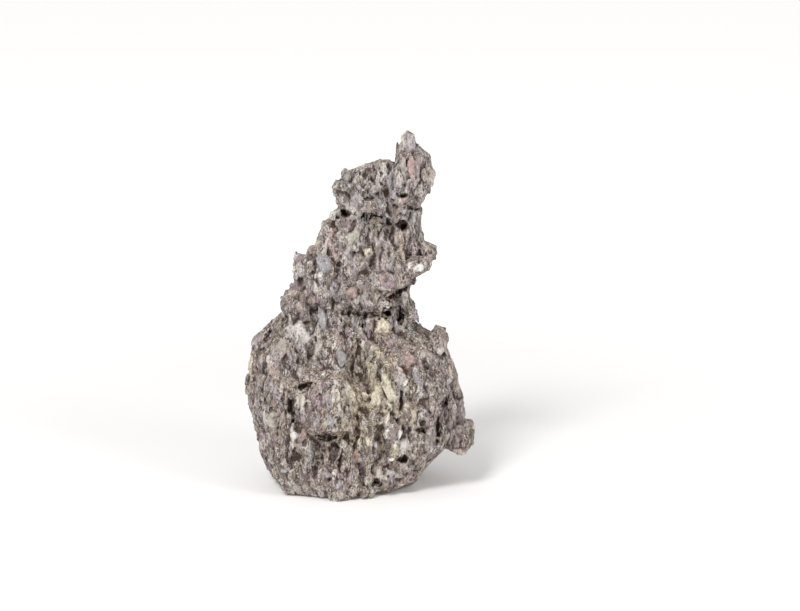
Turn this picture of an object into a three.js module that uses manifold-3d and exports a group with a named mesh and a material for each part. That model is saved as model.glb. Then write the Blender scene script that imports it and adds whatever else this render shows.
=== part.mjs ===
// A mountain-shaped viewing stone: one piece of weathered conglomerate, 220 mm tall.
// Long clasts stand upright in it, the softer matrix between them has worn back into cracks and
// pits, and the sawn underside is its only flat face.
// Millimetres, +Z up, -Y to the front. The origin is on the table, under the middle of the stone.
import * as THREE from "three";
import { mergeVertices } from "three/addons/utils/BufferGeometryUtils.js";
import { SimplexNoise } from "three/addons/math/SimplexNoise.js";
import Module from "manifold-3d";

const wasm = await Module();
wasm.setup();

// Driving dimensions.
const HEIGHT = 220.5;
const SKIN = 1.4; // the masses stop this far inside the outline, and their relief reaches it
const ROW = 6.2; // height of one row of facets
const CRACK_REACH = 0.22; // share of the spacing that a crack takes
const FULL_RELIEF = 14; // half width below which a mass's relief is eased
// Packed blocks and packed clasts: their spacing, how far they stand out, and the crack round each.
const LARGE = { wide: 31, tall: 47, proud: 6.5, crack: 3.5, use: 10 };
const CLAST = { wide: 13.5, tall: 34, proud: 3.2, crack: 3, use: 0 };
const LEDGE = { wide: 45, rise: 9, proud: 1.2 };
const CALM = 0.55; // share of the clasts' relief that the outline of the front view keeps

// The masses of the stone, from the table up. A plan lists the corners between the broken faces,
// turning from the right to the back, as shares of the mass's half width and half depth. Each row
// is [height, left, right, front, back], the limits that the plan fills there.
const BODY = {
  around: 72,
  plan: [
    [1, -0.12],
    [0.86, 0.5],
    [0.38, 1],
    [-0.42, 0.86],
    [-1, 0.12],
    [-0.74, -0.84],
    [-0.12, -1],
    [0.34, -0.82],
    [0.72, -0.86],
  ],
  rows: [
    [0, -55, 36, -42, 34],
    [7, -59.5, 43, -46, 40],
    [18, -64.5, 50, -49, 45],
    [24, -67.5, 60, -50, 47],
    [32, -69, 67, -49, 48],
    [48, -69, 68, -51, 50],
    [64, -71.5, 66, -47, 47],
    [74, -70, 62.5, -45, 43],
    [81, -69.5, 59, -40, 42],
    [90, -68, 55.5, -37, 40],
    [97, -66, 50, -31, 37],
    [102, -59, 38, -27, 33],
    [107, -51, 34.5, -23, 31],
    [113, -48, 34.5, -23, 29],
    [119, -47.5, 34.5, -30, 28],
    [126, -45, 34.5, -31, 29],
    [130, -42, 38, -30, 28],
    [134, -41, 44, -28, 24],
    [142, -39, 46, -28, 22],
    [147, -34, 45, -24, 22],
    [153, -27, 42, -22, 24],
    [159, -25, 41, -19, 22],
    [166, -24, 41, -15, 18],
    [171, -18.5, 41, -14, 16],
    [180, -10, 36, -9, 12],
  ],
};
const HEAD = {
  around: 34,
  plan: [
    [1, -0.3],
    [0.7, 0.8],
    [0.1, 1],
    [-0.6, 0.66],
    [-1, 0],
    [-0.66, -0.76],
    [-0.05, -1],
    [0.6, -0.94],
  ],
  rows: [
    [168, -4, 35, -10, 14],
    [174, -13, 38, -20, 17],
    [180, -15, 40, -25, 19],
    [186, -15.5, 42, -26, 18],
    [190, -18, 43, -24, 15],
    [194, -15, 41, -21, 15],
    [199, -8, 37, -18, 12],
    [202.5, 1, 30, -14, 10],
    [205, 9, 22, -8, 5],
  ],
};
const LOBE = {
  around: 24,
  plan: [
    [1, 0.1],
    [0.6, 0.85],
    [-0.1, 1],
    [-0.9, 0.5],
    [-1, -0.4],
    [-0.5, -1],
    [0.3, -0.95],
    [0.8, -0.6],
  ],
  rows: [
    [173, 18, 37, -14, 10],
    [180, 18, 42, -22, 14],
    [188, 18.5, 46.5, -27, 15],
    [196, 19, 48.5, -28, 16],
    [203, 19, 48, -26, 14],
    [210, 20, 44, -20, 12],
    [215, 22.5, 37.5, -13, 8],
    [218.5, 25.5, 34, -8, 4],
    [HEIGHT, 28.5, 32, -5, 1],
  ],
};
const MASSES = [BODY, HEAD, LOBE];

// Angular blocks that stand out of the masses: [name, centre, full size, lean in degrees].
// The lean turns a block in the front view, positive towards the left.
const BLOCKS = [
  ["toe", [61, 0, 30.5], [22, 38, 25], -8],
  ["toe heel", [36, -16, 19], [15, 26, 13], 6],
  ["shoulder horn", [48, -4, 91.5], [13, 24, 23], -10],
  ["ledge tip", [42, 4, 147], [14, 26, 19], 28],
  ["ledge brow", [33, -14, 141], [24, 24, 17], 24],
  ["ledge chin", [16, -24, 134], [20, 16, 14], 20],
  ["tower knob", [31, -8, 111], [11, 24, 18], 0],
  ["head beak", [-9, -6, 189.5], [17, 26, 10], -14],
  ["head knob", [14.5, -4, 200.5], [12, 18, 12], 0],
  ["head chin", [6, -20, 181], [26, 16, 14], -12],
  ["crown", [30.5, -3, 213], [10, 14, 16], -4],
  ["left step", [-32, -6, 139], [19, 24, 19], 4],
  ["left stair", [-38, -4, 115], [21, 26, 27], 0],
  ["back buttress", [-20, 30, 44], [40, 34, 64], 8],
  ["back spur", [10, 20, 132], [30, 22, 44], 10],
];

// Holes and clefts that reach deep: [name, x, height, width, rise, depth, lean in degrees].
const HOLLOWS = [
  ["cleft under the head", 4, 171, 38, 7, 12, -13],
  ["cleft under the head, left end", -9, 173.5, 12, 9, 9, 10],
  ["slit in the head", 26, 186, 10, 4, 8, 8],
  ["shade under the lobe", 34, 178, 14, 6, 7, -6],
  ["neck hole", 27, 165.5, 10, 7, 10, 0],
  ["pit in the head", 6, 188, 9, 7, 5, 0],
  ["seam under the ledge", 26, 127, 28, 5, 9, 34],
  ["band over the base, left", 2, 112, 24, 8, 7, -4],
  ["band over the base, right", 17, 113, 12, 7, 9, 8],
  ["hole by the knob", 27, 113, 8, 13, 8, 12],
  ["slot high on the left", -33, 71, 15, 8, 9, 24],
  ["upright hole on the left", -42.5, 56, 8, 18, 10, 6],
  ["hole low on the left", -20.5, 38.5, 18, 9, 10, -8],
  ["upright slot near the foot", -12, 21.5, 8, 17, 9, -6],
  ["hole on the right", 38, 41.5, 13, 6, 9, 0],
  ["long crack on the right", 53, 56, 6, 21, 8, -30],
  ["short crack on the right", 48.5, 39, 5, 20, 8, 0],
  ["hole over the heel", 27, 19, 14, 6, 8, 10],
];

// Swells and folds, worked into the masses: [name, x, height, half width, half rise, outwards].
// Those of FRONT are seen from the front, and those of BACK from behind, with the same x.
const FRONT = [
  ["boss on the left", -30, 44, 16, 22, 5],
  ["rib in the middle", 17, 56, 8, 30, 6],
  ["foot", -22, 12, 24, 9, 3],
  ["brow over the band", -6, 124, 22, 8, 3.5],
  ["fold by the foot", -12, 30, 9, 11, -6],
  ["fold over the foot", 14, 28, 6, 14, -4.5],
  ["groove up the middle", 2, 76, 6, 24, -6],
  ["groove up the left", -50, 76, 6, 20, -5],
  ["groove up the right", 44, 62, 4, 24, -5],
  ["groove up the tower", -18, 134, 5, 16, -5],
  ["second groove up the tower", 12, 140, 4, 16, -4],
  ["groove in the lobe", 25, 200, 2.5, 12, -4],
  ["second groove in the lobe", 38, 198, 2.5, 14, -4],
];
const BACK = [
  ["boss on the right", 26, 50, 18, 26, 5],
  ["fold between the boss and the buttress", 2, 58, 7, 34, -8],
  ["foot", 6, 12, 30, 10, 3],
  ["shoulder shelf", 20, 98, 18, 7, 5],
  ["tower rib", -4, 138, 10, 22, 5],
  ["tower groove", 16, 142, 6, 22, -5],
  ["neck", 12, 168, 20, 6, -5],
  ["nape", 26, 194, 8, 14, 4],
];

// The underside leaves the table on a line through x and y, and rises to the right and the front.
const UNDERCUT = { x: 4, y: -42, rise: 32, turn: -40 };

const LARGE_BLOCK = 28;
const CORNER_PULL = [0.76, 1.08];
const ANGULAR_CLASTS = 12;
const SMALL_HOLLOWS = 8;
const MASS_SHARES = [
  [BODY, 0.8],
  [HEAD, 0.12],
  [LOBE, 0.08],
];

// Repeatable random numbers, so that the stone is the same each time it is made.
function seeded(seed) {
  let state = seed;
  return () => {
    state = (state * 1664525 + 1013904223) % 4294967296;
    return state / 4294967296;
  };
}
const random = seeded(1187);
const noise = new SimplexNoise({ random });
const between = (low, high) => low + (high - low) * random();
const degrees = THREE.MathUtils.degToRad;

// The limits of a mass at a height, between its rows: {left, right, front, back}.
function limitsAt({ rows }, z) {
  const last = rows.length - 1;
  const upper = Math.min(
    last,
    Math.max(1, rows.findIndex((row) => row[0] >= z)),
  );
  const [low, high] = [rows[upper - 1], rows[upper]];
  const share = THREE.MathUtils.clamp((z - low[0]) / (high[0] - low[0]), 0, 1);
  const [left, right, front, back] = [1, 2, 3, 4].map((i) =>
    THREE.MathUtils.lerp(low[i], high[i], share),
  );
  return { left, right, front, back };
}

// Where a ray from the middle of a plan, at an angle from the right, meets the plan's edge.
function planPoint({ plan }, angle) {
  const ray = new THREE.Vector2(Math.cos(angle), Math.sin(angle));
  const reaches = plan.map((corner, i) => {
    const from = new THREE.Vector2(...corner);
    const edge = new THREE.Vector2(...plan[(i + 1) % plan.length]).sub(from);
    return from.cross(edge) / ray.cross(edge);
  });
  return ray.multiplyScalar(Math.min(...reaches.filter((reach) => reach > 0)));
}

// A number from 0 to 1 that belongs to a cell of space, a different one for each use.
function cellNumber(i, j, k, use) {
  const mixed = Math.sin(i * 127.1 + j * 311.7 + k * 74.7 + use * 53.3) * 43758.5453;
  return mixed - Math.floor(mixed);
}

// Upright pieces packed side by side: each stands out by its own amount, with a crack round it.
function packedRelief({ x, y, z }, { wide, tall, proud, crack, use }) {
  const place = [x / wide, y / wide, z / tall];
  const home = place.map(Math.floor);
  let [nearest, next, share] = [9, 9, 0];
  for (let n = 0; n < 27; n++) {
    const cell = home.map((h, axis) => h + (Math.floor(n / 3 ** axis) % 3) - 1);
    const away = Math.hypot(
      ...cell.map((c, axis) => c + cellNumber(...cell, use + axis) - place[axis]),
    );
    if (away < nearest) {
      [next, nearest, share] = [nearest, away, cellNumber(...cell, use + 3)];
    } else {
      next = Math.min(next, away);
    }
  }
  const inCrack = Math.max(0, 1 - (next - nearest) / CRACK_REACH);
  return proud * (2 * share - 1) - crack * inCrack;
}

// How far the swells and folds of the side that a point is on bring it out.
function swelling(x, z, facing) {
  return (facing < 0 ? FRONT : BACK).reduce((sum, [, cx, cz, wide, tall, outwards]) => {
    const away = ((x - cx) / wide) ** 2 + ((z - cz) / tall) ** 2;
    return sum + outwards * Math.abs(facing) * Math.exp(-away);
  }, 0);
}

// Swells, packed blocks, packed clasts and ledges, in millimetres. facing is -1 in front, 1 behind
// and 0 on the outline that the front view shows, where the large forms follow the rows instead.
function relief(point, facing) {
  const turned = Math.abs(facing);
  const large = turned * packedRelief(point, LARGE);
  const clasts = THREE.MathUtils.lerp(CALM, 1, turned) * packedRelief(point, CLAST);
  const ledges =
    LEDGE.proud *
    noise.noise3d(point.x / LEDGE.wide, point.y / LEDGE.wide, point.z / LEDGE.rise);
  return large + clasts + ledges + swelling(point.x, point.z, facing);
}

// A point on a mass, the level direction out of it, and the share of relief that it has room for.
// Angle 0 is the right and a quarter turn is the back.
function surfacePoint(mass, angle, z, inset = SKIN) {
  const { left, right, front, back } = limitsAt(mass, z);
  const half = [right - left, back - front].map((span) => Math.max(1, span / 2 - inset));
  const share = planPoint(mass, angle);
  const x = (left + right) / 2 + half[0] * share.x;
  const y = (front + back) / 2 + half[1] * share.y;
  const away = new THREE.Vector3(share.x / half[0], share.y / half[1], 0).normalize();
  const room = Math.min(1, Math.min(...half) / FULL_RELIEF);
  return { point: new THREE.Vector3(x, y, z), away, room };
}

// The heights of a mass's underside and top.
function endsOf({ rows }) {
  return [rows[0][0], rows[rows.length - 1][0]];
}

// A closed mass: a lathed drum whose rows are moved out to the limits and roughened.
function massGeometry(mass) {
  const [bottom, top] = endsOf(mass);
  const count = Math.round((top - bottom) / ROW);
  const profile = [new THREE.Vector2(0, bottom)];
  for (let i = 0; i <= count; i++) {
    profile.push(new THREE.Vector2(1, bottom + ((top - bottom) * i) / count));
  }
  profile.push(new THREE.Vector2(0, top));
  const drum = new THREE.LatheGeometry(profile, mass.around).rotateX(Math.PI / 2);
  const place = drum.getAttribute("position");
  for (let i = 0; i < place.count; i++) {
    const [px, py, height] = [place.getX(i), place.getY(i), place.getZ(i)];
    const onAxis = Math.hypot(px, py) < 0.5;
    if (onAxis) {
      const { left, right, front, back } = limitsAt(mass, height);
      place.setXYZ(i, (left + right) / 2, (front + back) / 2, height);
      continue;
    }
    const { point, away, room } = surfacePoint(mass, Math.atan2(py, px), height);
    point.addScaledVector(away, room * relief(point, py));
    place.setXYZ(i, point.x, point.y, height);
  }
  return drum;
}

// A rough angular block: a ball of size 1, turned anyhow and squared off, whose corners are moved
// in and out.
function blockGeometry(detail) {
  const turn = () => between(0, Math.PI);
  const round = new THREE.IcosahedronGeometry(0.5, detail).rotateX(turn()).rotateY(turn());
  const ball = mergeVertices(bare(round), 1e-3);
  const place = ball.getAttribute("position");
  for (let i = 0; i < place.count; i++) {
    const corner = [place.getX(i), place.getY(i), place.getZ(i)];
    const squared = 0.5 / corner.reduce((sum, v) => sum + Math.abs(v) ** 3, 0) ** (1 / 3);
    const pull = squared * between(...CORNER_PULL);
    place.setXYZ(i, ...corner.map((v) => v * pull));
  }
  return ball;
}

// The finer ball is for the large blocks and hollows.
function detailOf(size) {
  return Math.max(...size) > LARGE_BLOCK ? 1 : 0;
}

// The geometry with its positions alone, so that shared corners can merge.
function bare(geometry) {
  geometry.deleteAttribute("normal");
  geometry.deleteAttribute("uv");
  return geometry;
}

function solid(geometry) {
  const closed = mergeVertices(bare(geometry), 1e-3);
  return new wasm.Manifold(
    new wasm.Mesh({
      numProp: 3,
      vertProperties: closed.getAttribute("position").array,
      triVerts: new Uint32Array(closed.index.array),
    }),
  );
}

// A block of a full size, leaned in the front view, turned about the upright and set at a place.
function setBlock(geometry, size, lean, turn, place) {
  return solid(
    geometry
      .scale(...size)
      .rotateY(degrees(-lean))
      .rotateZ(turn)
      .translate(place.x, place.y, place.z),
  );
}

// The front of the stone at an x and a height: the foremost of the masses there.
function frontPoint(x, z) {
  const reached = MASSES.filter((mass) => z >= endsOf(mass)[0] && z <= endsOf(mass)[1])
    .map((mass) => {
      const { left, right, front, back } = limitsAt(mass, z);
      const share = Math.abs((2 * x - left - right) / (right - left));
      return (front + back) / 2 - ((back - front) / 2) * Math.sqrt(1 - Math.min(share, 0.97) ** 2);
    });
  return new THREE.Vector3(x, Math.min(...reached), z);
}

// Upright clasts half sunk in a mass, all round it and up it.
function clastsOn(mass, count) {
  const [bottom, top] = endsOf(mass);
  return Array.from({ length: count }, () => {
    const z = between(bottom + 6, top - 12);
    const { point, away } = surfacePoint(mass, between(0, 2 * Math.PI), z, 4);
    const wide = between(8, 15);
    const size = [wide * between(0.6, 0.9), wide, wide * between(1.6, 2.8)];
    const turn = Math.atan2(away.y, away.x);
    return setBlock(blockGeometry(0), size, between(-12, 12), turn, point);
  });
}

// Small hollows on the flanks and the back.
function hollowsOn(mass, count) {
  const [bottom, top] = endsOf(mass);
  return Array.from({ length: count }, () => {
    const z = between(bottom + 8, top - 8);
    const { point, away } = surfacePoint(mass, between(-0.15 * Math.PI, 1.15 * Math.PI), z, 0);
    const wide = between(5, 11);
    const size = [between(8, 14), wide, wide * between(0.5, 1.6)];
    const turn = Math.atan2(away.y, away.x);
    return setBlock(blockGeometry(0), size, between(-10, 10), turn, point);
  });
}

function stoneSolid() {
  let stone = MASSES.map((mass) => solid(massGeometry(mass))).reduce((a, b) => a.add(b));
  for (const [, centre, size, lean] of BLOCKS) {
    const block = blockGeometry(detailOf(size));
    stone = stone.add(setBlock(block, size, lean, 0, new THREE.Vector3(...centre)));
  }
  for (const [mass, share] of MASS_SHARES) {
    for (const clast of clastsOn(mass, Math.round(ANGULAR_CLASTS * share))) {
      stone = stone.add(clast);
    }
  }
  for (const [, x, z, width, rise, depth, lean] of HOLLOWS) {
    const size = [width, 2 * depth, rise];
    const hollow = blockGeometry(detailOf(size));
    stone = stone.subtract(setBlock(hollow, size, lean, 0, frontPoint(x, z)));
  }
  for (const [mass, share] of MASS_SHARES) {
    for (const hollow of hollowsOn(mass, Math.round(SMALL_HOLLOWS * share))) {
      stone = stone.subtract(hollow);
    }
  }
  return onePiece(sawnFlat(stone));
}

// Chips that a hollow cuts loose fall away, and a space sealed inside is stone.
function onePiece(stone) {
  return stone.decompose().reduce((a, b) => (b.volume() > a.volume() ? b : a));
}

// Everything under the table's surface is sawn off, and the front right corner of the underside
// is broken away, so that it rises from the table there.
function sawnFlat(stone) {
  const slab = () => new THREE.BoxGeometry(4 * HEIGHT, 4 * HEIGHT, HEIGHT).translate(0, 0, -HEIGHT / 2);
  const { x, y, rise, turn } = UNDERCUT;
  const corner = slab().rotateY(degrees(-rise)).rotateZ(degrees(turn)).translate(x, y, 0);
  return stone.subtract(solid(slab())).subtract(solid(corner));
}

// The finished surface, with the middle of its box over the origin.
function geometryOf(manifold) {
  const mesh = manifold.getMesh();
  const geometry = new THREE.BufferGeometry()
    .setAttribute("position", new THREE.BufferAttribute(new Float32Array(mesh.vertProperties), 3))
    .setIndex(new THREE.BufferAttribute(new Uint32Array(mesh.triVerts), 1));
  geometry.computeBoundingBox();
  const middle = geometry.boundingBox.getCenter(new THREE.Vector3());
  return geometry.translate(-middle.x, -middle.y, 0);
}

const weathered = new THREE.MeshStandardMaterial({ color: 0x8d837c, roughness: 0.78, metalness: 0 });

const stone = new THREE.Mesh(geometryOf(stoneSolid()), weathered);
stone.name = "stone";

const part = new THREE.Group();
part.add(stone);
export default part;
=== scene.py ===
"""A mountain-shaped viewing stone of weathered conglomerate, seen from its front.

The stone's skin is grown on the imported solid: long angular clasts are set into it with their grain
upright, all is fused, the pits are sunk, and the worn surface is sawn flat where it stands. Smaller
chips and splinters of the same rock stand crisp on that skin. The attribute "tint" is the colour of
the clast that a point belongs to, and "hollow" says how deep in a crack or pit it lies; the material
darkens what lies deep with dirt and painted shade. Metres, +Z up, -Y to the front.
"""

import math
from dataclasses import dataclass

import bmesh
import bpy
import numpy as np
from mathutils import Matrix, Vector, noise
from mathutils.bvhtree import BVHTree


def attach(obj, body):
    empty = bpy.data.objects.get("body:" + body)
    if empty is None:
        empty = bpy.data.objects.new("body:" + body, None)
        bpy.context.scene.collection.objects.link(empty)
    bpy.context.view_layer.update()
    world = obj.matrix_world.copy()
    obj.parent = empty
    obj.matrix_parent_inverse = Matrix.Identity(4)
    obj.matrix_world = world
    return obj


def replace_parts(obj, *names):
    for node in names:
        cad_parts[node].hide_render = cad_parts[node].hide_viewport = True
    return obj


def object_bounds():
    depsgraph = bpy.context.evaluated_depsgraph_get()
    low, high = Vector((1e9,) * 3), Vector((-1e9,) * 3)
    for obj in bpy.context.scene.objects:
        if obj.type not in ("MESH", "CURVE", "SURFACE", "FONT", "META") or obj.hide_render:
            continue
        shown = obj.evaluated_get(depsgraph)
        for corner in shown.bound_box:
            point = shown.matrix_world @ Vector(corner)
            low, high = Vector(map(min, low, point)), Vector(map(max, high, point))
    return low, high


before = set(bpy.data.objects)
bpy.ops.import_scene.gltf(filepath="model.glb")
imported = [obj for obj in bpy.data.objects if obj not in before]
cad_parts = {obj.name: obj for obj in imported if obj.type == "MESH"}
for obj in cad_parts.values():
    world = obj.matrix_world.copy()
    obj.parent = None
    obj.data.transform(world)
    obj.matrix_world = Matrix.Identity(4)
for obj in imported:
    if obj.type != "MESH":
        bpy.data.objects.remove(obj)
cad_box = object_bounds()

MM = 0.001

# The photograph's frame, and what the camera has to show in it.
PHOTO_WIDTH = 800
PHOTO_HEIGHT = 611
PIXEL = 0.62 * MM  # what one pixel covers at the stone
FOOT_COLUMN = 359.5  # the pixel in which the stone's upright axis meets the table
FOOT_ROW = 482.3
ELEVATION = math.radians(12)
DISTANCE = 1.4
SENSOR = 36.0

# The floor and its light, in metres.
FLOOR_REACH = 8
GLOW_FROM = 0.15  # the floor begins to glow this far from the stone's upright axis
GLOW_FULL = 0.9
LEAST_GLOW = 0.07  # the share of the glow that is left under the stone
LIT = (0, 0, 0.1)  # the place that the soft boxes look at

# The skin.
SEED = 20
MERGED = 0.001 * MM  # corners nearer to each other than this are one
INSET = 0.9 * MM  # the solid is drawn in by this much before clasts are set into it
VOXEL = 0.6 * MM
MOST_TRIANGLES = 190000
RELIEF = 2.5 * MM  # what stands out further than this is worn down
WORN_OFF = 0.95  # the share of it that wear takes off
PIT_REACH = 14 * MM  # a pit sinks no surface that lies further behind its mouth
PIT_FRAYING = 0.6  # how ragged the edge of a pit is, as a share of the pit's half width
PIT_BREAKS = 260  # how many times to a metre that edge breaks
FULL_PIT = 9 * MM  # a pit of this depth takes as much dirt and painted shade as pits get
WEAR = (0.34, 0.16)  # depths of the coarse and of the fine wear, in millimetres
WEAR_RIDGES = (620, 620, 210)  # how many ridges of wear lie to a metre each way
FINE_WEAR = 2.3  # how much closer the ridges of the fine wear lie
CRACK_ROUNDS = 8  # rounds of smoothing that level the cracks
CRACK_DEPTH = 0.55 * MM  # a crack of this depth takes as much dirt and painted shade as cracks get
HOLLOW_ROUNDS = 60  # rounds of smoothing that level the wide hollows too
HOLLOW_DEPTH = 2.2 * MM
HOLLOW_SHARES = (0.55, 0.3, 0.8)  # how much dirt and painted shade cracks, wide hollows and pits take at most
RIDGE_LIGHT = 0.15  # how much lighter the ridges are
SAWN_GAP = 0.02 * MM  # how far the sawn face stands over the table
CUT = 0.0001 * MM  # corners this near to the saw's cut are on it

# How clasts are shaped and set.
FORMS = 30  # different shapes in each kind
FUSED_CORNERS = 15
BLOCKINESS = 2.8  # a clast is round at 2, and blockier over it
END_TAPER = 0.5  # how much narrower a clast is at its ends
WORN_CORNER = 0.88  # how far out the most worn corner of a clast still reaches
GRAIN_BENDS = 14  # how many times to a metre the upright grain bends
GRAIN_DRIFT = 0.32  # how far it bends, as a share of its own length
GRAIN_SCATTER = 0.6  # the share of the lean that a clast has on average
UPRIGHT = 0.92  # a surface that faces along the grain by more than this gets clasts turned at random
RAY_START = 2 * MM  # a ray for the surface starts this far inside the core
RAY_LENGTH = 8 * MM
TIP_REACH = 0.9 * MM  # how far the ends of a clast may stick out of the solid
LANDMARK_REACH = 1.8 * MM
CHIP_REACH = 0.4 * MM
THICK_SPREAD = (0.7, 1.3)
TRIMS = 5  # how often an end that sticks out is drawn in
TRIM = 0.76  # what each time leaves of its length
TRIM_SHIFT = 0.12  # how far its middle moves, as a share of the length
LANDMARK_PROUD = (2.3, 2.9)  # millimetres
LANDMARK_SPREAD = (1.3, 0.7, 1.25)  # width, thickness and height, as shares of the seen size
LANDMARK_TURN = 2  # a landmark faces the camera by this much more than the surface does
LANDMARK_CLEAR = 0.85  # other clasts keep out of this share of a landmark's oval

# Where loose chips stand, and their colour.
FOOT_CLEARANCE = 1.5 * MM  # no loose chip is set lower than this
CROWN_CLEARANCE = 6 * MM  # nor nearer to the top than this
OWN_COLOUR = 0.12  # the share of loose chips whose colour isn't that of the clast under them
BARE = 0.8  # the share of loose chips that are left off a landmark
TINT_REACH = 1.2 * MM  # what lies further than this from every clast is bare earth
TINT_SPREAD = 0.2  # how far clasts of one colour differ in lightness
DARKEST = 0.4  # the least lightness, as a share of the colour's own
CHIP_TINT_SPREAD = 0.13
CHIP_SINK = 0.8 * MM  # a chip darkens with dirt and painted shade from this far under the skin
CHIP_GRIME_AND_SHADE = 0.8

# How many of each lie to a metre in the rock's fine pattern.
FRAGMENTS = 230
SMALL_FRAGMENTS = 680
SPECKS = 1500
FINE_GRAINS = 1000
BENDS = 170
CRACKED = 190
FILM_PATCHES = 45
FILM_ENDS = (90 * MM, 125 * MM)  # the height at which the film begins to thin out, and its end

# Colours of the rock as they look in daylight, in sRGB.
COLOURS = {
    "warm grey": (150, 140, 132),
    "brown grey": (136, 122, 114),
    "mauve": (134, 120, 121),
    "lavender": (141, 134, 137),
    "dark grey": (104, 95, 93),
    "light grey": (170, 163, 156),
    "cool grey": (168, 160, 162),
    "beige": (164, 153, 134),
    "chalk": (188, 183, 178),
    "white": (214, 209, 203),
    "cream": (212, 200, 178),
    "straw": (190, 184, 168),
    "sage": (158, 154, 142),
    "plum": (137, 117, 123),
    "rose": (155, 131, 125),
    "rust": (150, 121, 106),
    "slate": (143, 141, 144),
    "ice": (176, 173, 176),
    "earth": (116, 102, 92),
    "film": (166, 154, 112),
    "grime and shade": (66, 50, 43),
}
# How often a clast has each colour.
ROCK = {
    "warm grey": 22,
    "brown grey": 18,
    "mauve": 13,
    "lavender": 9,
    "dark grey": 10,
    "light grey": 14,
    "beige": 7,
    "chalk": 3,
    "sage": 3,
    "plum": 3,
    "rose": 2,
    "slate": 4,
}


@dataclass
class Family:
    """Clasts of one size. Pairs are the least and the most."""

    count: int
    width: tuple  # millimetres
    long: tuple  # length, as shares of the width
    thick: float  # thickness, as a share of the width
    proud: tuple  # how far they stand out, in millimetres
    lean: float  # how far they lean from the grain, in degrees
    even: float  # how even their colour is at most, from 0 to 1


FUSED = [
    Family(260, width=(7, 13), long=(1.5, 2.6), thick=0.5, proud=(1.0, 2.8), lean=12, even=0.8),
    Family(2800, width=(3.4, 7.2), long=(1.9, 3.6), thick=0.55, proud=(0.3, 2.5), lean=15, even=0.9),
    Family(1300, width=(1.8, 3.2), long=(1.9, 3.8), thick=0.8, proud=(0.4, 2.0), lean=20, even=0.7),
]
# Loose chips: the name of the piece, how many corners a chip has, and its family.
LOOSE = [
    ["chips", 11, Family(4200, (1.3, 2.6), (2.0, 4.2), thick=0.6, proud=(0.0, 0.5), lean=16, even=0)],
    ["splinters", 8, Family(12000, (0.6, 1.1), (2.0, 5.0), thick=0.8, proud=(0.1, 0.5), lean=22, even=0)],
]

# Clasts that stand out in the front view: [name, column, row, width and height in pixels, lean to
# the left in degrees, colour].
LANDMARKS = [
    ["cream patch over the base", 383, 325, 15, 13, 20, "cream"],
    ["chalky patch on the shoulder", 299, 335, 27, 30, 0, "chalk"],
    ["cream spot on the tower", 368, 252, 9, 9, 0, "cream"],
    ["long pale clast in the middle", 390, 383, 17, 34, 8, "straw"],
    ["long pale clast beside it", 377, 400, 11, 27, -12, "straw"],
    ["white pebble low on the left", 294, 434, 8, 12, 0, "white"],
    ["whitish pebble on the right", 404, 449, 18, 19, 0, "chalk"],
    ["leaf low on the left", 274, 414, 14, 32, -14, "sage"],
    ["cream wedge", 369, 442, 9, 17, 0, "cream"],
    # Painted highlight: the white glint by the knob is a white clast.
    ["white glint by the knob", 407, 313, 6, 11, 0, "white"],
    ["slate blade", 322, 315, 8, 32, 4, "slate"],
    ["plum blade on the left", 297, 288, 8, 40, 0, "plum"],
    ["plum block on the step", 302, 256, 15, 12, 10, "plum"],
    ["rose blade", 352, 294, 10, 26, -10, "rose"],
    ["mauve oval", 390, 280, 13, 21, -14, "plum"],
    ["rose clast on the right", 411, 357, 12, 27, -6, "rose"],
    ["lavender clast under it", 417, 375, 9, 11, 0, "lavender"],
    ["round grey pebble", 323, 264, 15, 22, 0, "slate"],
    ["rusty clast near the foot", 356, 454, 11, 17, 0, "rust"],
    ["icy clast at the heel", 392, 475, 15, 15, 20, "ice"],
    ["rose clast low on the left", 304, 431, 8, 19, -14, "rose"],
    ["sage block", 302, 394, 20, 13, -20, "sage"],
    ["lavender clast in the head", 355, 197, 11, 15, 10, "lavender"],
    ["chalky block by the cleft", 334, 216, 11, 9, -20, "chalk"],
    ["sage block under the cleft", 352, 237, 13, 15, 0, "sage"],
    ["chalky chip on the left flank", 270, 360, 9, 11, 0, "chalk"],
    ["chalky chip on the right", 440, 350, 7, 10, 0, "chalk"],
    ["lavender clast in the middle", 341, 358, 10, 18, 0, "lavender"],
    ["plum blade in the middle", 361, 384, 9, 28, -6, "plum"],
    ["slate chip", 331, 425, 6, 14, 0, "slate"],
    ["grey slab on the shoulder", 318, 345, 12, 20, 6, "light grey"],
    ["grey block on the left flank", 282, 350, 12, 20, 0, "warm grey"],
    ["flute of the lobe, first", 392, 178, 7, 34, 0, "slate"],
    ["flute of the lobe, second", 403, 168, 7, 42, -4, "warm grey"],
    ["flute of the lobe, third", 411, 160, 7, 36, 0, "rose"],
    ["flute of the lobe, fourth", 418, 170, 6, 52, 0, "mauve"],
    ["flute of the lobe, fifth", 425, 172, 6, 56, 3, "warm grey"],
    ["flute of the lobe, sixth", 431, 173, 10, 50, 4, "warm grey"],
]

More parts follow.
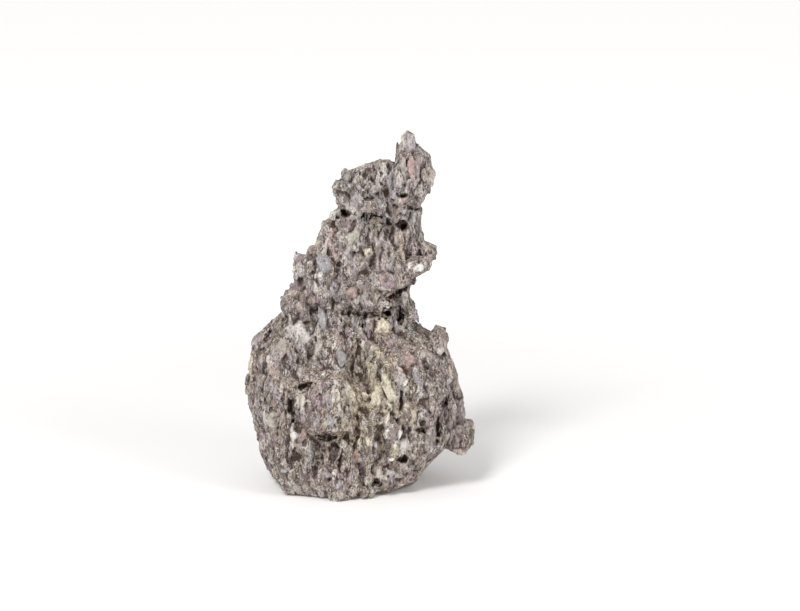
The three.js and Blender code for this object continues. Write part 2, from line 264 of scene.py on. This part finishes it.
# Pits and clefts seen from the front: [name, column, row, width and height in pixels, lean to the
# left in degrees, depth in mm].
PITS = [
    ["cleft under the head", 364, 218, 58, 11, -9, 8.5],
    ["cleft, left end", 345, 214, 12, 10, 0, 8],
    ["slit in the head", 402, 196, 13, 5, 8, 4.5],
    ["neck hole", 402, 226, 15, 6, -8, 4],
    ["shade under the lobe", 414, 208, 20, 6, 0, 4],
    ["pits in the head", 370, 199, 14, 5, 0, 3.5],
    ["seam under the ledge", 400, 291, 34, 5, 32, 6],
    ["band over the base", 370, 315, 52, 9, -3, 4],
    ["pit in the band, left", 365, 316, 7, 9, 0, 7],
    ["pit in the band, right", 387, 313, 9, 7, 0, 7],
    ["hole by the knob", 402, 314, 8, 18, -15, 6],
    ["slot high on the left", 306, 386, 18, 9, 20, 5],
    ["upright hole on the left", 292, 409, 10, 22, 6, 6.5],
    ["hole low on the left", 326, 437, 20, 10, -10, 6],
    ["scoop by the foot", 331, 458, 24, 32, -8, 3],
    ["upright slot near the foot", 340, 463, 7, 18, -8, 6],
    ["hole on the right", 421, 431, 15, 7, 0, 5],
    ["long crack on the right", 446, 402, 7, 22, -32, 6],
    ["short crack on the right", 438, 427, 6, 26, 0, 6],
    ["hole over the heel", 403, 460, 11, 9, 10, 6],
    ["gap at the foot", 375, 483, 11, 9, 0, 6],
    ["crease on the left shoulder", 268, 338, 8, 26, -20, 4],
    ["crease in the middle", 352, 365, 5, 30, 0, 3],
    ["crease beside the long clast", 401, 400, 5, 24, 0, 4],
]

# Washes of colour over the front, three of them painted shade on the flanks and the lobe: [name, column,
# row, width and height in pixels, lean to the left in degrees, colour, share].
WASHES = [
    ["green film in the middle", 372, 392, 84, 88, 0, "film", 0.6],
    ["green film near the foot", 350, 438, 36, 36, 0, "film", 0.6],
    ["brown of the scoop", 331, 460, 28, 34, 0, "rust", 0.5],
    # Painted shade on the left flank.
    ["shaded left flank", 258, 385, 34, 120, 0, "earth", 0.45],
    ["sandy band on the shoulder", 315, 325, 60, 26, 0, "straw", 0.22],
    ["chalky patch on the shoulder", 299, 335, 38, 44, 0, "chalk", 0.55],
    ["pale patch in the middle", 388, 388, 26, 50, 0, "straw", 0.3],
    ["pale head", 352, 188, 84, 56, 0, "chalk", 0.5],
    ["pale tower", 362, 256, 96, 70, 0, "chalk", 0.25],
    # Painted shade on the side of the lobe and on the right flank.
    ["shaded side of the lobe", 424, 176, 40, 100, 0, "dark grey", 0.75],
    ["shaded right flank", 448, 400, 60, 170, 0, "dark grey", 0.7],
]
WASH_EDGE = 1.15  # a wash thins out at this many times its half width
WASH_SPARED = 0.6  # how much less of a wash a clast of even colour takes
WASH_SHADE = 0.6  # how much of a clast's own light and dark shows through
FRONT = 0.2  # washes cover what faces away from the camera by less than this


def linear(name):
    """A named colour as linear shares of red, green and blue."""
    shares = np.array(COLOURS[name]) / 255
    return np.where(shares <= 0.04045, shares / 12.92, ((shares + 0.055) / 1.055) ** 2.4)


def shader_colour(name):
    return (*linear(name), 1)


class Value:
    """A number or colour in a shader. Arithmetic on it adds Math nodes."""

    def __init__(self, shader, socket):
        self.shader = shader
        self.socket = socket

    def math(self, operation, *values):
        numbered = dict(enumerate(values))
        return self.shader.node("ShaderNodeMath", "Value", {"operation": operation}, numbered)

    def __add__(self, other):
        return self.math("ADD", self, other)

    __radd__ = __add__

    def __sub__(self, other):
        return self.math("SUBTRACT", self, other)

    def __rsub__(self, other):
        return self.math("SUBTRACT", other, self)

    def __mul__(self, other):
        return self.math("MULTIPLY", self, other)

    __rmul__ = __mul__

    def clamped(self):
        return self.math("MINIMUM", self.math("MAXIMUM", self, 0), 1)

    def between(self, low, high):
        """0 at low and under, 1 at high and over, and smooth in the middle."""
        settings = {"interpolation_type": "SMOOTHSTEP"}
        values = {"Value": self, "From Min": low, "From Max": high}
        return self.shader.node("ShaderNodeMapRange", "Result", settings, values)


class Shader:
    """A material and the nodes that are added to it."""

    def __init__(self, name):
        self.material = bpy.data.materials.new(name)
        self.material.use_nodes = True
        self.tree = self.material.node_tree

    def node(self, kind, output, settings=None, values=None):
        """Adds a node of a kind, with its settings and its sockets' values or links."""
        node = self.tree.nodes.new(kind)
        for name, setting in (settings or {}).items():
            setattr(node, name, setting)
        self.fill(node, values or {})
        return Value(self, node.outputs[output])

    def fill(self, node, values):
        for key, value in values.items():
            socket = node.inputs[key]
            if isinstance(value, Value):
                self.tree.links.new(value.socket, socket)
            else:
                socket.default_value = value

    def surface(self, values):
        self.fill(self.tree.nodes["Principled BSDF"], values)

    def grey(self, light):
        """A grey of a lightness."""
        return self.node("ShaderNodeCombineColor", "Color", {}, {0: light, 1: light, 2: light})

    def mix(self, share, first, second, how="MIX"):
        """One colour over another, by a share."""
        settings = {"data_type": "RGBA", "blend_type": how}
        # The colour sockets of a Mix node are the seventh and eighth, and its colour is the third.
        return self.node("ShaderNodeMix", 2, settings, {0: share, 6: first, 7: second})


def make_camera():
    """The camera stands in front of the stone and looks down on it by the photograph's angle."""
    aim = Vector(
        (
            (PHOTO_WIDTH / 2 - FOOT_COLUMN) * PIXEL,
            0,
            (FOOT_ROW - PHOTO_HEIGHT / 2) * PIXEL / math.cos(ELEVATION),
        )
    )
    data = bpy.data.cameras.new("camera")
    data.sensor_width = SENSOR
    data.lens = SENSOR * DISTANCE / (PHOTO_WIDTH * PIXEL)
    camera = bpy.data.objects.new("camera", data)
    camera.location = aim + DISTANCE * Vector((0, -math.cos(ELEVATION), math.sin(ELEVATION)))
    camera.rotation_euler = (math.pi / 2 - ELEVATION, 0, 0)
    bpy.context.scene.collection.objects.link(camera)
    bpy.context.scene.camera = camera
    bpy.context.view_layer.update()
    return camera


class FrontView:
    """The stone as the photograph shows it: from places to pixels and back."""

    def __init__(self, camera):
        self.eye = camera.location.copy()
        self.axes = camera.matrix_world.to_3x3()
        self.forward = self.axes @ Vector((0, 0, -1))

    def seen_at(self, places):
        """The column and row of each place, and how far it lies from the camera's plane."""
        local = (places - np.array(self.eye)) @ np.array(self.axes)
        away = -local[:, 2]
        scale = DISTANCE / PIXEL / away
        return PHOTO_WIDTH / 2 + local[:, 0] * scale, PHOTO_HEIGHT / 2 - local[:, 1] * scale, away

    def first_hit(self, tree, column, row):
        """The place and outward direction of the surface that a pixel shows."""
        across = (column - PHOTO_WIDTH / 2) * PIXEL / DISTANCE
        up = (PHOTO_HEIGHT / 2 - row) * PIXEL / DISTANCE
        place, outward, _, _ = tree.ray_cast(self.eye, self.axes @ Vector((across, up, -1)))
        return place, outward


def oval(columns, rows, mark):
    """0 at the middle of a mark's oval in the photograph, and 1 on its edge."""
    _, column, row, width, height, lean = mark[:6]
    turn = math.radians(lean)
    across = columns - column
    up = row - rows
    side = across * math.cos(turn) + up * math.sin(turn)
    along = up * math.cos(turn) - across * math.sin(turn)
    return np.hypot(side / (width / 2), along / (height / 2))


def make_light(name, place, size, power):
    """A soft box that looks at the middle of the stone."""
    data = bpy.data.lights.new(name, "AREA")
    data.size = size
    data.energy = power
    light = bpy.data.objects.new(name, data)
    light.location = place
    light.rotation_euler = (Vector(LIT) - Vector(place)).to_track_quat("-Z", "Y").to_euler()
    bpy.context.scene.collection.objects.link(light)


def make_stage():
    """A wide pale floor that glows as painted light, less near the stone, soft boxes on both sides
    and an even white surround.
    """
    bm = bmesh.new()
    bmesh.ops.create_grid(bm, x_segments=1, y_segments=1, size=FLOOR_REACH)
    mesh = bpy.data.meshes.new("floor")
    bm.to_mesh(mesh)
    bm.free()
    floor = bpy.data.objects.new("floor", mesh)
    bpy.context.scene.collection.objects.link(floor)
    pale = Shader("pale glowing floor")
    place = pale.node("ShaderNodeTexCoord", "Object")
    away = pale.node("ShaderNodeVectorMath", "Value", {"operation": "LENGTH"}, {0: place})
    # Painted light: the floor glows faintly under the stone and fully further out.
    glow = away.between(GLOW_FROM, GLOW_FULL) * (1 - LEAST_GLOW) + LEAST_GLOW
    pale.surface(
        {
            "Base Color": (0.93, 0.92, 0.915, 1),
            "Roughness": 0.9,
            "Emission Color": pale.grey(glow),
            "Emission Strength": 0.38,
        }
    )
    floor.data.materials.append(pale.material)
    make_light("key", place=(-0.45, -1.0, 1.15), size=0.4, power=15)
    make_light("fill", place=(1.0, -0.75, 0.7), size=0.5, power=4.2)
    world = bpy.data.worlds.new("surround")
    world.use_nodes = True
    surround = world.node_tree.nodes["Background"]
    surround.inputs["Color"].default_value = (1, 0.995, 0.985, 1)
    surround.inputs["Strength"].default_value = 0.64
    bpy.context.scene.world = world
    bpy.context.scene.view_settings.view_transform = "Standard"


def stone_material():
    """Weathered rock: each clast's own tint, packed with smaller fragments along the upright grain,
    a sandy film between them, and dirt and painted shade in the hollows."""
    rock = Shader("weathered conglomerate")
    place = rock.node("ShaderNodeTexCoord", "Object")
    tint = rock.node("ShaderNodeAttribute", "Color", {"attribute_name": "tint"})
    even = rock.node("ShaderNodeAttribute", "Alpha", {"attribute_name": "tint"})
    hollow = rock.node("ShaderNodeAttribute", "Fac", {"attribute_name": "hollow"})

    def vector_math(operation, *values):
        numbered = dict(enumerate(values))
        return rock.node("ShaderNodeVectorMath", "Vector", {"operation": operation}, numbered)

    def grain(vector, scale, output="Fac"):
        values = {"Vector": vector, "Scale": scale, "Detail": 4, "Roughness": 0.65}
        return rock.node("ShaderNodeTexNoise", output, {}, values)

    def drawn(vector, share):
        """The vector with a share of its height, which draws the marks out along the grain."""
        return vector_math("MULTIPLY", vector, (1, 1, share))

    def fragments(vector, scale):
        """A number for each packed fragment, and how far a point lies from the fragment's edge."""
        values = {"Vector": vector, "Scale": scale}
        colour = rock.node("ShaderNodeTexVoronoi", "Color", {}, values)
        number = rock.node("ShaderNodeSeparateColor", "Red", {}, {"Color": colour})
        edge = rock.node("ShaderNodeTexVoronoi", "Distance", {"feature": "DISTANCE_TO_EDGE"}, values)
        return number, edge

    shift = vector_math("SUBTRACT", grain(place, BENDS, "Color"), (0.5, 0.5, 0.5))
    bent = vector_math("ADD", place, vector_math("MULTIPLY", shift, (4 * MM, 4 * MM, 8 * MM)))
    shade, seam = fragments(drawn(bent, 0.32), FRAGMENTS)
    small_shade, small_seam = fragments(drawn(bent, 0.4), SMALL_FRAGMENTS)
    speck, _ = fragments(drawn(bent, 0.6), SPECKS)
    fine = grain(drawn(place, 0.6), FINE_GRAINS)
    streak = grain(drawn(bent, 0.16), FINE_GRAINS)
    broad = grain(place, FILM_PATCHES)
    low = 1 - rock.node("ShaderNodeSeparateXYZ", "Z", {}, {"Vector": place}).between(*FILM_ENDS)

    # Light and dark fragments, calmer on the clasts whose colour is even.
    uneven = (shade * 0.54 + small_shade * 0.46 - 0.5) * (1 - even * 0.85)
    rough = (streak * 0.9 + fine * 1.15 - 1.02) * (1 - even * 0.6)
    light = 1.16 + uneven * 1.1 + rough + speck * (0.34 - even * 0.2)
    colour = rock.mix(1.0, tint, rock.grey(light), "MULTIPLY")

    # A cool bloom high up, and a sandy film low down and along the seams.
    cooled = rock.mix((1 - low) * (1 - even * 0.8) * 0.2, colour, shader_colour("cool grey"))
    sand = broad.between(0.46, 0.7) * 0.2 + (1 - seam.between(0.05, 0.3)) * broad * 0.16
    film = sand * (1 - even * 0.7) * (low * 0.8 + 0.3)
    filmed = rock.mix(film.clamped(), cooled, shader_colour("beige"))

    # White flecks, partly white grains and partly painted glints, on what stands out and not in the
    # hollows.
    pale = (small_shade * streak.between(0.4, 0.6)).between(0.84, 0.9) * (1 - hollow).clamped()
    white_specks_and_glints = speck.between(0.76, 0.84) * (1 - hollow).clamped() * (0.8 - even * 0.55)
    flecks_and_glints = rock.mix((pale * 0.7 + white_specks_and_glints).clamped(), filmed, shader_colour("white"))

    # Dirt and painted shade in the hollows, and dirt along the worn cracks.
    cracks = (1 - seam.between(0.0, 0.1)) * 0.9 + (1 - small_seam.between(0.0, 0.15)) * 0.55
    worn = cracks * grain(drawn(place, 0.4), CRACKED).between(0.4, 0.6) * (1 - even * 0.6)
    grime_and_shade = hollow * 1.3 + worn + (1 - speck.between(0.12, 0.22)) * (0.75 - even * 0.4) - 0.1
    grimed_and_shaded = rock.mix(grime_and_shade.clamped(), flecks_and_glints, shader_colour("grime and shade"))

    height = seam.between(0.0, 0.3) + small_seam.between(0.0, 0.3) * 0.5 + fine * 0.5 + streak * 0.5
    values = {"Strength": 0.9, "Distance": 0.75 * MM, "Height": height}
    rock.surface(
        {
            "Base Color": grimed_and_shaded,
            "Roughness": 0.8 - pale * 0.4 - fine * 0.2,
            "Normal": rock.node("ShaderNodeBump", "Normal", {}, values),
            "Specular IOR Level": 0.4,
        }
    )
    return rock.material


def chip_form(rng, count):
    """The corners and triangles of an angular chip, one unit long each way, from a count of
    corners."""
    bm = bmesh.new()
    for _ in range(count):
        corner = rng.normal(size=3)
        corner *= 0.5 / (np.abs(corner) ** BLOCKINESS).sum() ** (1 / BLOCKINESS)
        corner[:2] *= 1 - END_TAPER * np.abs(2 * corner[2]) ** 2
        bm.verts.new(corner * rng.uniform(WORN_CORNER, 1.0))
    hull = bmesh.ops.convex_hull(bm, input=bm.verts)
    inner = [item for item in hull["geom_interior"] if isinstance(item, bmesh.types.BMVert)]
    bmesh.ops.delete(bm, geom=inner, context="VERTS")
    bmesh.ops.recalc_face_normals(bm, faces=bm.faces)
    bm.verts.index_update()
    corners = np.array([vert.co for vert in bm.verts])
    faces = np.array([[vert.index for vert in face.verts] for face in bm.faces])
    bm.free()
    return corners, faces


class Clasts:
    """Chips set into a surface, kept as one list of corners and triangles."""

    def __init__(self, rng, corners):
        self.rng = rng
        self.forms = [chip_form(rng, corners) for _ in range(FORMS)]
        self.corners = []
        self.heights = []
        self.faces = []
        self.owners = []
        self.tints = []
        self.total = 0

    def add(self, point, outward, grain, facing, size, proud, tint):
        """Sets a chip so that its highest corner stands proud of the point. Its long side lies
        along the grain, and its thickness points to where it faces. Its tint is its colour and how
        even that colour is, from 0 to 1."""
        corners, faces = self.forms[self.rng.integers(len(self.forms))]
        side = facing.cross(grain).normalized()
        out = grain.cross(side)
        turned = (corners * np.array(size)) @ np.array([side, out, grain])
        heights = turned @ np.array(outward)
        lift = proud - heights.max()
        self.corners.append(turned + np.array(point) + np.array(outward) * lift)
        self.heights.append(heights + lift)
        self.faces.append(faces + self.total)
        self.owners.append(np.full(len(faces), len(self.tints)))
        self.tints.append(tint)
        self.total += len(corners)

    def mesh(self, name):
        made = bpy.data.meshes.new(name)
        corners = np.concatenate(self.corners)
        made.from_pydata(corners.tolist(), [], np.concatenate(self.faces).tolist())
        return made


def pick_tint(rng, most_even):
    """A clast's tint: one of the rock's colours, lighter or darker, and how even it is."""
    weights = np.array(list(ROCK.values()), float)
    name = list(ROCK)[rng.choice(len(ROCK), p=weights / weights.sum())]
    return [*linear(name) * max(DARKEST, rng.normal(1.0, TINT_SPREAD)), rng.uniform(0, most_even)]


def grain_at(point, rng, lean):
    """The direction of the rock's grain: upright, bending slowly from place to place."""
    drift = noise.noise_vector(Vector(point) * GRAIN_BENDS) * GRAIN_DRIFT
    own = Vector(rng.normal(size=3)) * math.sin(math.radians(lean)) * GRAIN_SCATTER
    return (Vector((0, 0, 1)) + drift + own).normalized()


def kept_in(tree, point, grain, long, reach):
    """A chip's middle and length, drawn in from each end that would stick out of the surface."""
    for end in (1, -1):
        for _ in range(TRIMS):
            tip = point + grain * end * long * 0.5
            nearest, outward, _, _ = tree.find_nearest(tip)
            if (tip - nearest).dot(outward) < reach:
                break
            point = point - grain * end * long * TRIM_SHIFT
            long *= TRIM
    return point, long


def places_on(mesh, count, rng):
    """Places spread evenly over a mesh of triangles, with their outward directions."""
    corners = positions(mesh)
    triangles = corners[np.array([polygon.vertices[:] for polygon in mesh.polygons])]
    edges = triangles[:, 1:] - triangles[:, :1]
    normals = np.cross(edges[:, 0], edges[:, 1])
    areas = np.linalg.norm(normals, axis=1)
    chosen = rng.choice(len(areas), count, p=areas / areas.sum())
    shares = rng.uniform(size=(count, 2))
    over = shares.sum(axis=1) > 1
    shares[over] = 1 - shares[over]
    places = triangles[chosen, 0] + (edges[chosen] * shares[:, :, None]).sum(axis=1)
    return places, normals[chosen] / areas[chosen, None]


def scatter(clasts, core, tree, families, reach, choose):
    """Sets families of clasts on a surface around the core, in the tint chosen for each."""
    rng = clasts.rng
    for family in families:
        for start, direction in zip(*places_on(core, family.count, rng)):
            width = rng.uniform(*family.width) * MM
            thick = width * family.thick * rng.uniform(*THICK_SPREAD)
            long = width * rng.uniform(*family.long)
            proud = rng.uniform(*family.proud) * MM
            side = Vector(rng.normal(size=3))
            inside = Vector(start) - Vector(direction) * RAY_START
            place, outward, _, _ = tree.ray_cast(inside, Vector(direction), RAY_LENGTH)
            if place is None:
                continue
            tint = choose(place, outward, family)
            if tint is None:
                continue
            grain = grain_at(place, rng, family.lean)
            facing = side if abs(outward.dot(grain)) > UPRIGHT else outward
            middle, long = kept_in(tree, place, grain, long, reach)
            clasts.add(middle, outward, grain, facing, (width, thick, long), proud, tint)


def on_landmark(view, place, outward):
    """Whether a place on the front is one that a landmark covers."""
    if outward.dot(view.forward) > 0:
        return False
    columns, rows, _ = view.seen_at(np.array([place]))
    return any(oval(columns[0], rows[0], landmark) < LANDMARK_CLEAR for landmark in LANDMARKS)


def set_landmarks(clasts, tree, view):
    """Sets the clasts that stand out in the photograph where it shows them."""
    for _, column, row, width, height, lean, colour in LANDMARKS:
        place, outward = view.first_hit(tree, column, row)
        if place is None:
            continue
        turn = math.radians(lean)
        grain = view.axes @ Vector((-math.sin(turn), math.cos(turn), 0))
        size = np.array([width, min(width, height), height]) * LANDMARK_SPREAD * PIXEL
        place, size[2] = kept_in(tree, place, grain, size[2], LANDMARK_REACH)
        facing = outward - view.forward * LANDMARK_TURN
        proud = clasts.rng.uniform(*LANDMARK_PROUD) * MM
        clasts.add(place, -view.forward, grain, facing, size, proud, [*linear(colour), 1])


def core_mesh():
    """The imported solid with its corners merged, drawn in to leave room for the clasts."""
    bm = bmesh.new()
    bm.from_mesh(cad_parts["stone"].data)
    bmesh.ops.remove_doubles(bm, verts=bm.verts, dist=MERGED)
    bm.normal_update()
    for vert in bm.verts:
        vert.co -= vert.normal * INSET
    bmesh.ops.triangulate(bm, faces=bm.faces)
    mesh = bpy.data.meshes.new("core")
    bm.to_mesh(mesh)
    bm.free()
    return mesh


def with_modifier(mesh, kind, **settings):
    """The mesh that a modifier makes of a mesh."""
    holder = bpy.data.objects.new("holder", mesh)
    bpy.context.scene.collection.objects.link(holder)
    modifier = holder.modifiers.new(kind.lower(), kind)
    for name, setting in settings.items():
        setattr(modifier, name, setting)
    graph = bpy.context.evaluated_depsgraph_get()
    made = bpy.data.meshes.new_from_object(holder.evaluated_get(graph))
    bpy.data.objects.remove(holder)
    return made


def tree_of(mesh):
    return BVHTree.FromPolygons([v.co for v in mesh.vertices], [p.vertices for p in mesh.polygons])


def positions(mesh):
    found = np.empty(len(mesh.vertices) * 3)
    mesh.vertices.foreach_get("co", found)
    return found.reshape(-1, 3)


def outward_directions(mesh):
    found = np.empty(len(mesh.vertices) * 3)
    mesh.vertex_normals.foreach_get("vector", found)
    return found.reshape(-1, 3)


def in_order(mesh):
    """The mesh with its corners and faces in one fixed order, as thinning depends on their order."""
    places = positions(mesh)
    order = np.lexsort(places.T)
    rank = np.argsort(order).tolist()
    faces = []
    for polygon in mesh.polygons:
        ring = [rank[vert] for vert in polygon.vertices]
        start = ring.index(min(ring))
        faces.append(ring[start:] + ring[:start])
    made = bpy.data.meshes.new("in order")
    made.from_pydata(places[order].tolist(), [], sorted(faces))
    return made


def wear_down(mesh, core):
    """Takes off most of what stands out too far from the core."""
    tree = tree_of(core)
    places = positions(mesh)
    for i, place in enumerate(places):
        place = Vector(place)
        nearest, _, _, away = tree.find_nearest(place)
        if away > RELIEF:
            places[i] = place + (nearest - place) * (WORN_OFF * (away - RELIEF) / away)
    mesh.vertices.foreach_set("co", places.ravel())
    mesh.update()


def pit_depths(view, places):
    """How deep the pits sink each place."""
    columns, rows, away = view.seen_at(places)
    broken = np.array([noise.turbulence(place, 3, False) for place in places * PIT_BREAKS])
    depths = np.zeros(len(places))
    for pit in PITS:
        *_, deepest = pit
        reach = oval(columns, rows, pit) + broken * PIT_FRAYING
        inside = reach < 1
        if inside.any():
            inside &= away < away[inside].min() + PIT_REACH
            bowl = 1 - np.maximum(reach[inside], 0) ** 2
            depths[inside] = np.maximum(depths[inside], deepest * MM * bowl)
    return depths


def sink_pits(mesh, view):
    """Pushes the front of the skin back in each pit."""
    places = positions(mesh)
    sunk = places + pit_depths(view, places)[:, None] * np.array(view.forward)
    mesh.vertices.foreach_set("co", sunk.ravel())
    mesh.update()


def weather(mesh):
    """Fine upright wear over the whole skin."""
    places = positions(mesh)
    directions = outward_directions(mesh)
    ridges = places * np.array(WEAR_RIDGES)
    coarse = np.array([noise.noise(place) for place in ridges])
    fine = np.array([noise.noise(place) for place in ridges * FINE_WEAR])
    worn = places + directions * ((coarse * WEAR[0] + fine * WEAR[1]) * MM)[:, None]
    mesh.vertices.foreach_set("co", worn.ravel())
    mesh.update()


def fused_skin(core, clasts, view):
    """The core and its clasts as one closed surface, pitted, worn, thinned and sawn flat."""
    bm = bmesh.new()
    bm.from_mesh(core)
    bm.from_mesh(clasts.mesh("clasts"))
    mesh = bpy.data.meshes.new("unfused")
    bm.to_mesh(mesh)
    bm.free()
    fused = in_order(with_modifier(mesh, "REMESH", mode="VOXEL", voxel_size=VOXEL))
    wear_down(fused, core)
    sink_pits(fused, view)
    weather(fused)
    triangles = sum(len(polygon.vertices) - 2 for polygon in fused.polygons)
    thinned = with_modifier(fused, "DECIMATE", ratio=min(1, MOST_TRIANGLES / triangles))
    return sawn(thinned)


def largest_part(bm):
    """Deletes every loose crumb and leaves the stone."""
    seen = set()
    parts = []
    for start in bm.verts:
        if start in seen:
            continue
        part = [start]
        seen.add(start)
        for vert in part:
            for edge in vert.link_edges:
                other = edge.other_vert(vert)
                if other not in seen:
                    seen.add(other)
                    part.append(other)
        parts.append(part)
    parts.sort(key=len)
    crumbs = [vert for part in parts[:-1] for vert in part]
    bmesh.ops.delete(bm, geom=crumbs, context="VERTS")


def drop_flaps(bm):
    """Deletes the triangles that thinning has left back to back on the same three corners."""
    found = {}
    for face in bm.faces:
        found.setdefault(frozenset(face.verts), []).append(face)
    flaps = [face for faces in found.values() if len(faces) > 1 for face in faces]
    bmesh.ops.delete(bm, geom=flaps, context="FACES")


def sawn(mesh):
    """The skin cut off flat at the table, with its cut face closed."""
    bm = bmesh.new()
    bm.from_mesh(mesh)
    geometry = bm.verts[:] + bm.edges[:] + bm.faces[:]
    bmesh.ops.bisect_plane(
        bm, geom=geometry, dist=CUT, plane_co=(0, 0, SAWN_GAP), plane_no=(0, 0, 1), clear_inner=True
    )
    rim = [edge for edge in bm.edges if edge.is_boundary]
    bmesh.ops.holes_fill(bm, edges=rim, sides=0)
    largest_part(bm)
    bmesh.ops.triangulate(bm, faces=bm.faces)
    drop_flaps(bm)
    bmesh.ops.recalc_face_normals(bm, faces=bm.faces)
    if bm.calc_volume(signed=True) < 0:
        bmesh.ops.reverse_faces(bm, faces=bm.faces)
    made = bpy.data.meshes.new("stone_skin")
    bm.to_mesh(made)
    bm.free()
    return made


def smoothed(mesh, values, rounds):
    """Values on the vertices, each drawn to its neighbours' mean a number of times."""
    ends = np.empty(len(mesh.edges) * 2, int)
    mesh.edges.foreach_get("vertices", ends)
    one, two = ends.reshape(-1, 2).T
    count = len(mesh.vertices)
    links = np.bincount(one, minlength=count) + np.bincount(two, minlength=count)
    for _ in range(rounds):
        total = np.stack(
            [
                np.bincount(one, column[two], count) + np.bincount(two, column[one], count)
                for column in values.T
            ],
            axis=1,
        )
        values = 0.5 * values + 0.5 * total / links[:, None]
    return values


class TintMap:
    """The colour of the clast that lies nearest to a place."""

    def __init__(self, clasts):
        self.owners = np.concatenate(clasts.owners)
        self.tints = np.array(clasts.tints)
        self.bare = np.array([*linear("earth"), 0])
        corners = np.concatenate(clasts.corners).tolist()
        self.tree = BVHTree.FromPolygons(corners, np.concatenate(clasts.faces).tolist())

    def at(self, place):
        _, _, face, away = self.tree.find_nearest(place)
        return self.tints[self.owners[face]] if away < TINT_REACH else self.bare


def washed(colours, places, directions, view):
    """Colours under the washes that lie over the stone's front."""
    columns, rows, _ = view.seen_at(places)
    front = directions @ np.array(view.forward) < FRONT
    for wash in WASHES:
        *_, name, most = wash
        colour = linear(name)
        share = np.clip(WASH_EDGE - oval(columns, rows, wash), 0, 1) * most * front
        share = (share * (1 - WASH_SPARED * colours[:, 3]))[:, None]
        light = colours[:, :3].mean(axis=1, keepdims=True) / colour.mean()
        washed_over = colours[:, :3] * (1 - share) + share * colour * light**WASH_SHADE
        colours = np.column_stack([washed_over, colours[:, 3]])
    return colours


def hollows(mesh, view):
    """How deep in a crack or pit each point of the skin lies, from 0 to 1, and how high it stands."""
    places = positions(mesh)
    directions = outward_directions(mesh)
    near = ((smoothed(mesh, places, CRACK_ROUNDS) - places) * directions).sum(axis=1) / CRACK_DEPTH
    wide = ((smoothed(mesh, places, HOLLOW_ROUNDS) - places) * directions).sum(axis=1) / HOLLOW_DEPTH
    pitted = (pit_depths(view, places) / FULL_PIT) ** 2
    cracks, dips, pits = HOLLOW_SHARES
    # The material darkens what lies deep with dirt and painted shade.
    hollow = np.maximum(near, 0) * cracks + np.maximum(wide, 0) * dips + pitted * pits
    return np.clip(hollow, 0, 1), np.clip(-near, 0, 1)


def paint(mesh, colours, hollow):
    """Writes the attributes that the material reads."""
    tint = mesh.color_attributes.new("tint", "FLOAT_COLOR", "POINT")
    tint.data.foreach_set("color", colours.ravel())
    depth = mesh.attributes.new("hollow", "FLOAT", "POINT")
    depth.data.foreach_set("value", hollow)


def show(name, mesh, material):
    """Puts a mesh into the scene as a piece that rides with the stone."""
    mesh.materials.append(material)
    piece = bpy.data.objects.new(name, mesh)
    bpy.context.scene.collection.objects.link(piece)
    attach(piece, "root")
    return piece


@dataclass
class Ground:
    """The finished skin that loose chips are set on."""

    core: bpy.types.Mesh
    skin: bpy.types.Mesh
    tints: TintMap
    hollow: np.ndarray


def make_chips(name, clasts, family, ground, view, material):
    """Loose chips as one piece. Most take the colour of the clast that they stand on, and few
    stand on a landmark."""
    rng = clasts.rng

    def choose(place, _, family):
        below = ground.tints.at(place)
        if not FOOT_CLEARANCE < place.z < cad_box[1][2] - CROWN_CLEARANCE:
            return None
        if below[3] == 1 and rng.uniform() < BARE:
            return None
        if below[3] < 1 and rng.uniform() < OWN_COLOUR:
            return pick_tint(rng, family.even)
        return below * [*[rng.normal(1.0, CHIP_TINT_SPREAD)] * 3, 1]

    tree = tree_of(ground.skin)
    scatter(clasts, ground.core, tree, [family], CHIP_REACH, choose)
    mesh = clasts.mesh(name)
    nearest = [tree.find_nearest(vert.co)[2] for vert in mesh.vertices]
    under = ground.hollow[np.array([ground.skin.polygons[face].vertices[0] for face in nearest])]
    sizes = [len(corners) for corners in clasts.corners]
    own = np.repeat(np.array(clasts.tints), sizes, axis=0)
    # Painted shade and dirt: chips darken where they sink into the skin and where the skin under them
    # lies deep.
    sunk = np.clip(0.1 - np.concatenate(clasts.heights) / CHIP_SINK, 0, 1)
    colours = washed(own, positions(mesh), outward_directions(mesh), view)
    paint(mesh, colours, np.clip(under * CHIP_GRIME_AND_SHADE + sunk * CHIP_GRIME_AND_SHADE, 0, 1))
    show(name, mesh, material)


def make_stone(view):
    """The stone's skin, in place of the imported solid, and the loose chips on it."""
    rng = np.random.default_rng(SEED)
    noise.seed_set(SEED)
    core = core_mesh()
    fused = Clasts(rng, FUSED_CORNERS)
    tree = tree_of(core)

    def choose(place, outward, family):
        return None if on_landmark(view, place, outward) else pick_tint(rng, family.even)

    scatter(fused, core, tree, FUSED, TIP_REACH, choose)
    set_landmarks(fused, tree, view)
    skin = fused_skin(core, fused, view)
    tints = TintMap(fused)
    places = positions(skin)
    hollow, ridge = hollows(skin, view)
    own = np.array([tints.at(place) for place in places])
    colours = washed(own, places, outward_directions(skin), view)
    colours[:, :3] *= (1 + RIDGE_LIGHT * ridge)[:, None]
    paint(skin, colours, hollow)
    rock = stone_material()
    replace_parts(show("stone_skin", skin, rock), "stone")
    ground = Ground(core, skin, tints, hollow)
    for name, corners, family in LOOSE:
        make_chips(name, Clasts(rng, corners), family, ground, view, rock)


camera = make_camera()
make_stage()
make_stone(FrontView(camera))
